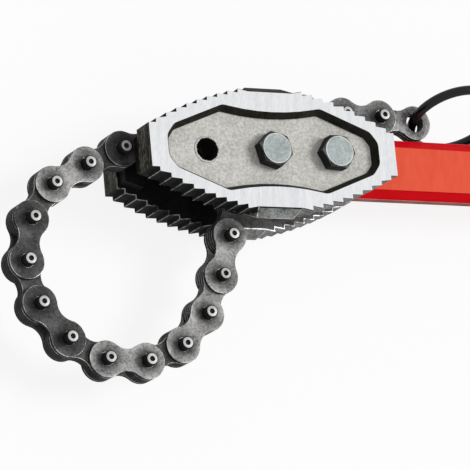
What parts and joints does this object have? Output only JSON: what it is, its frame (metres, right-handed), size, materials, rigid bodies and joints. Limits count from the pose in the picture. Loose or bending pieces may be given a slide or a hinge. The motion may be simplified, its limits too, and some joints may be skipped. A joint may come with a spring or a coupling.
{
  "type": "chain pipe wrench",
  "caption": "Double-jaw chain pipe wrench: long bar handle bolted between two toothed jaws, riveted leaf chain wrapped in a loop, hooked in the jaws, pull ring at its end",
  "frame": {"origin": "on the rear jaw's outer rim, 34 mm beside the centre bolt's axis", "axes": "+X runs down the handle along the jaws, +Y points to the side of the chain's free run, +Z points out of the front jaw"},
  "size_m": [1.0421, 0.2227, 0.0856],
  "materials": {
    "ground_steel": "ground rims and teeth, rough forged panel",
    "orange_paint": "orange-red enamel on forged steel",
    "bolt_steel": "blue-grey hardened steel",
    "chain_steel": "dark heat-treated steel with a light oil film",
    "black_enamel": "glossy black enamel"
  },
  "bodies": {
    "root": {"jaw_front": "ground_steel", "jaw_rear": "ground_steel", "handle": "orange_paint", "bolt_centre": "bolt_steel", "bolt_side": "bolt_steel", "nut_centre": "bolt_steel", "nut_side": "bolt_steel", "washer_front": "bolt_steel", "washer_rear": "bolt_steel"},
    "link_00": {"outer_link_00": "chain_steel"},
    "link_01": {"inner_plate_01a": "chain_steel", "inner_plate_01b": "chain_steel", "inner_plate_01c": "chain_steel"},
    "link_02": {"outer_link_02": "chain_steel"},
    "link_03": {"inner_plate_03a": "chain_steel", "inner_plate_03b": "chain_steel", "inner_plate_03c": "chain_steel"},
    "link_04": {"outer_link_04": "chain_steel"},
    "link_05": {"inner_plate_05a": "chain_steel", "inner_plate_05b": "chain_steel", "inner_plate_05c": "chain_steel"},
    "link_06": {"outer_link_06": "chain_steel"},
    "link_07": {"inner_plate_07a": "chain_steel", "inner_plate_07b": "chain_steel", "inner_plate_07c": "chain_steel"},
    "link_08": {"outer_link_08": "chain_steel"},
    "link_09": {"inner_plate_09a": "chain_steel", "inner_plate_09b": "chain_steel", "inner_plate_09c": "chain_steel"},
    "link_10": {"outer_link_10": "chain_steel"},
    "link_11": {"inner_plate_11a": "chain_steel", "inner_plate_11b": "chain_steel", "inner_plate_11c": "chain_steel"},
    "link_12": {"outer_link_12": "chain_steel"},
    "link_13": {"inner_plate_13a": "chain_steel", "inner_plate_13b": "chain_steel", "inner_plate_13c": "chain_steel"},
    "link_14": {"outer_link_14": "chain_steel"},
    "link_15": {"inner_plate_15a": "chain_steel", "inner_plate_15b": "chain_steel", "inner_plate_15c": "chain_steel"},
    "link_16": {"outer_link_16": "chain_steel"},
    "link_17": {"inner_plate_17a": "chain_steel", "inner_plate_17b": "chain_steel", "inner_plate_17c": "chain_steel"},
    "link_18": {"outer_link_18": "chain_steel"},
    "link_19": {"inner_plate_19a": "chain_steel", "inner_plate_19b": "chain_steel", "inner_plate_19c": "chain_steel"},
    "link_20": {"outer_link_20": "chain_steel"},
    "link_21": {"inner_plate_21a": "chain_steel", "inner_plate_21b": "chain_steel", "inner_plate_21c": "chain_steel"},
    "pull_ring": {"pull_ring": "black_enamel"}
  },
  "joints": [
    {"name": "hinge_00", "type": "hinge", "parent": "root", "child": "link_00", "pos_m": [0, 0.034, 0.04125], "axis": [0, 0, 1], "range_deg": [-12, 0]},
    {"name": "hinge_01", "type": "hinge", "parent": "link_00", "child": "link_01", "pos_m": [-0.01734, 0.0074, 0.04125], "axis": [0, 0, 1], "range_deg": [-6, 0]},
    {"name": "hinge_02", "type": "hinge", "parent": "link_01", "child": "link_02", "pos_m": [-0.02657, -0.02297, 0.04125], "axis": [0, 0, 1], "range_deg": [-6, 0]},
    {"name": "hinge_03", "type": "hinge", "parent": "link_02", "child": "link_03", "pos_m": [-0.03654, -0.05312, 0.04125], "axis": [0, 0, 1], "range_deg": [-6, 0]},
    {"name": "hinge_04", "type": "hinge", "parent": "link_03", "child": "link_04", "pos_m": [-0.05061, -0.08158, 0.04125], "axis": [0, 0, 1], "range_deg": [-6, 0]},
    {"name": "hinge_05", "type": "hinge", "parent": "link_04", "child": "link_05", "pos_m": [-0.07218, -0.10488, 0.04125], "axis": [0, 0, 1], "range_deg": [-6, 0]},
    {"name": "hinge_06", "type": "hinge", "parent": "link_05", "child": "link_06", "pos_m": [-0.10152, -0.11701, 0.04125], "axis": [0, 0, 1], "range_deg": [-6, 0]},
    {"name": "hinge_07", "type": "hinge", "parent": "link_06", "child": "link_07", "pos_m": [-0.13325, -0.11576, 0.04125], "axis": [0, 0, 1], "range_deg": [0, 6]},
    {"name": "hinge_08", "type": "hinge", "parent": "link_07", "child": "link_08", "pos_m": [-0.16154, -0.10134, 0.04125], "axis": [0, 0, 1], "range_deg": [0, 6]},
    {"name": "hinge_09", "type": "hinge", "parent": "link_08", "child": "link_09", "pos_m": [-0.1812, -0.07642, 0.04125], "axis": [0, 0, 1], "range_deg": [0, 6]},
    {"name": "hinge_10", "type": "hinge", "parent": "link_09", "child": "link_10", "pos_m": [-0.18864, -0.04555, 0.04125], "axis": [0, 0, 1], "range_deg": [0, 6]},
    {"name": "hinge_11", "type": "hinge", "parent": "link_10", "child": "link_11", "pos_m": [-0.18248, -0.0144, 0.04125], "axis": [0, 0, 1], "range_deg": [0, 6]},
    {"name": "hinge_12", "type": "hinge", "parent": "link_11", "child": "link_12", "pos_m": [-0.16385, 0.01131, 0.04125], "axis": [0, 0, 1], "range_deg": [0, 6]},
    {"name": "hinge_13", "type": "hinge", "parent": "link_12", "child": "link_13", "pos_m": [-0.13617, 0.02687, 0.04125], "axis": [0, 0, 1], "range_deg": [0, 12]},
    {"name": "hinge_14", "type": "hinge", "parent": "link_13", "child": "link_14", "pos_m": [-0.10717, 0.03978, 0.04125], "axis": [0, 0, 1], "range_deg": [0, 40]},
    {"name": "hinge_15", "type": "hinge", "parent": "link_14", "child": "link_15", "pos_m": [-0.0765, 0.048, 0.04125], "axis": [0, 0, 1], "range_deg": [0, 30]},
    {"name": "hinge_16", "type": "hinge", "parent": "link_15", "child": "link_16", "pos_m": [-0.0467, 0.05896, 0.04125], "axis": [0, 0, 1], "range_deg": [0, 25]},
    {"name": "hinge_17", "type": "hinge", "parent": "link_16", "child": "link_17", "pos_m": [-0.01601, 0.06707, 0.04125], "axis": [0, 0, 1], "range_deg": [0, 25]},
    {"name": "hinge_18", "type": "hinge", "parent": "link_17", "child": "link_18", "pos_m": [0.01531, 0.07231, 0.04125], "axis": [0, 0, 1], "range_deg": [0, 25]},
    {"name": "hinge_19", "type": "hinge", "parent": "link_18", "child": "link_19", "pos_m": [0.04698, 0.07458, 0.04125], "axis": [0, 0, 1], "range_deg": [0, 25]},
    {"name": "hinge_20", "type": "hinge", "parent": "link_19", "child": "link_20", "pos_m": [0.07872, 0.07386, 0.04125], "axis": [0, 0, 1], "range_deg": [0, 25]},
    {"name": "hinge_21", "type": "hinge", "parent": "link_20", "child": "link_21", "pos_m": [0.11046, 0.07326, 0.04125], "axis": [0, 0, 1], "range_deg": [-1, 25]},
    {"name": "ring_swing", "type": "hinge", "parent": "link_21", "child": "pull_ring", "pos_m": [0.14213, 0.07099, 0.04125], "axis": [0, 0, 1], "range_deg": [-4, 100]}
  ],
  "couplings": [
    {"joint": "hinge_07", "follows": "hinge_06", "ratio": -1},
    {"joint": "hinge_08", "follows": "hinge_05", "ratio": -1},
    {"joint": "hinge_09", "follows": "hinge_04", "ratio": -1},
    {"joint": "hinge_10", "follows": "hinge_03", "ratio": -1},
    {"joint": "hinge_11", "follows": "hinge_02", "ratio": -1},
    {"joint": "hinge_12", "follows": "hinge_01", "ratio": -1},
    {"joint": "hinge_13", "follows": "hinge_00", "ratio": -1}
  ]
}
